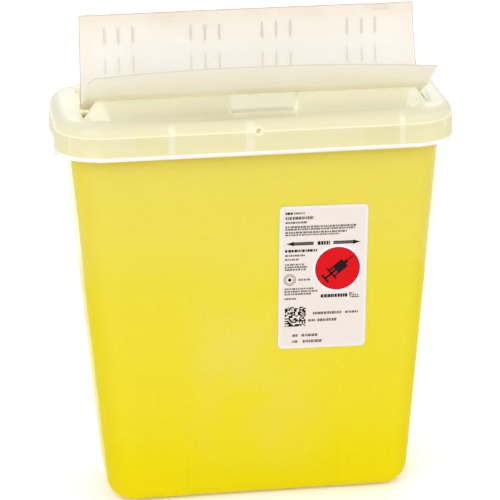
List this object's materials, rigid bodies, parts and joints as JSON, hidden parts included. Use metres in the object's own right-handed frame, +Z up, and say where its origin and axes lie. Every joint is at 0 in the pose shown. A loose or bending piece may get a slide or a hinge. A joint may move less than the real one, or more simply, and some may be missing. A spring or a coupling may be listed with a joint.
{
  "type": "sharps container",
  "caption": "Tapered yellow sharps bin with a press-on lid, a gravity-return swing door over the throat and a fold-over closure panel.",
  "frame": {"origin": "centre of the flat base's underside", "axes": "+X across the width to the user's right, -Y towards the front face with the label, +Z up"},
  "size_m": [0.34, 0.172, 0.4257],
  "materials": {
    "tub_plastic": "satin translucent yellow polypropylene",
    "lid_plastic": "satin natural translucent polypropylene",
    "door_plastic": "natural translucent polypropylene sheet",
    "panel_plastic": "natural translucent polypropylene sheet",
    "gasket_rubber": "soft grey-white",
    "label_film": "satin printed film"
  },
  "bodies": {
    "tub_and_lid": {"container_body": "tub_plastic", "rim_gasket": "gasket_rubber", "lid_frame": "lid_plastic", "left_door_bearing": "lid_plastic", "right_door_bearing": "lid_plastic", "left_panel_bearing": "lid_plastic", "right_panel_bearing": "lid_plastic", "front_label": "label_film"},
    "door": {"swing_door": "door_plastic"},
    "panel": {"closure_panel": "panel_plastic"}
  },
  "joints": [
    {"name": "door_tip", "type": "hinge", "parent": "tub_and_lid", "child": "door", "pos_m": [0, -0.041, 0.358], "axis": [-1, 0, 0], "range_deg": [0, 24]},
    {"name": "panel_fold", "type": "hinge", "parent": "tub_and_lid", "child": "panel", "pos_m": [0, 0.003, 0.3476], "axis": [1, 0, 0], "range_deg": [0, 54]}
  ]
}
